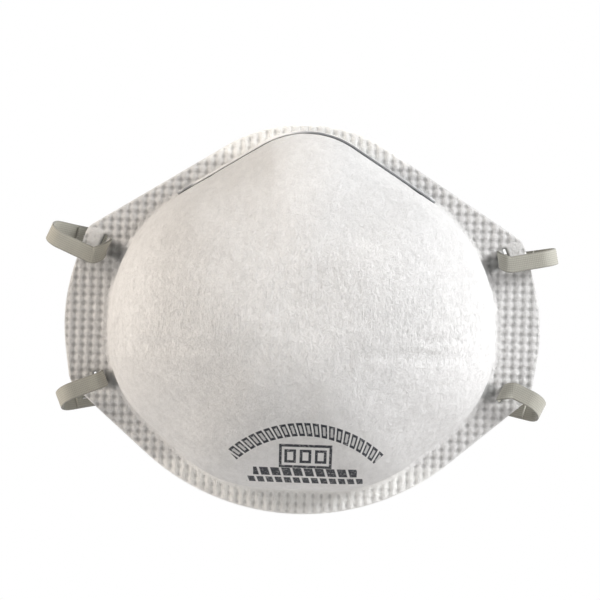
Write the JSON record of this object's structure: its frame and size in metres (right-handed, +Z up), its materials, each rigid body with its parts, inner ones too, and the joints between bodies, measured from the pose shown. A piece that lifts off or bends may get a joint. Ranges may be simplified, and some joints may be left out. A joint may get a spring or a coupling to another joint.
{
  "type": "disposable dust mask",
  "caption": "Cup-shaped disposable dust mask: moulded nonwoven plies with a waffle flange, aluminium nose clip, foam nose cushion and two stapled elastic headbands.",
  "frame": {"origin": "middle of the flange's face side, in the plane that seals against the face", "axes": "+Z up towards the nose, the cup stands out towards -Y, the wearer's face is at +Y, X across the mask"},
  "size_m": [0.1532, 0.0927, 0.1199],
  "materials": {
    "cover_nonwoven": "matte",
    "filter_media": "matte",
    "shell_nonwoven": "matte",
    "lining_nonwoven": "matte",
    "clip_aluminium": "satin",
    "cushion_foam": "matte",
    "elastic": "matte",
    "staple_steel": "satin"
  },
  "bodies": {
    "cup": {"outer_cover": "cover_nonwoven", "filter_web": "filter_media", "support_shell": "shell_nonwoven", "inner_lining": "lining_nonwoven", "nose_clip": "clip_aluminium", "nose_foam": "cushion_foam"},
    "upper_band": {"upper_headband": "elastic", "staple_upper_left": "staple_steel", "staple_upper_right": "staple_steel"},
    "lower_band": {"lower_headband": "elastic", "staple_lower_left": "staple_steel", "staple_lower_right": "staple_steel"}
  },
  "joints": [
    {"name": "upper_band_swing", "type": "hinge", "parent": "cup", "child": "upper_band", "pos_m": [0, -0.00065, 0.0212], "axis": [1, 0, 0], "range_deg": [-20, 25]},
    {"name": "lower_band_swing", "type": "hinge", "parent": "cup", "child": "lower_band", "pos_m": [0, -0.00065, -0.021], "axis": [1, 0, 0], "range_deg": [-25, 20]}
  ]
}
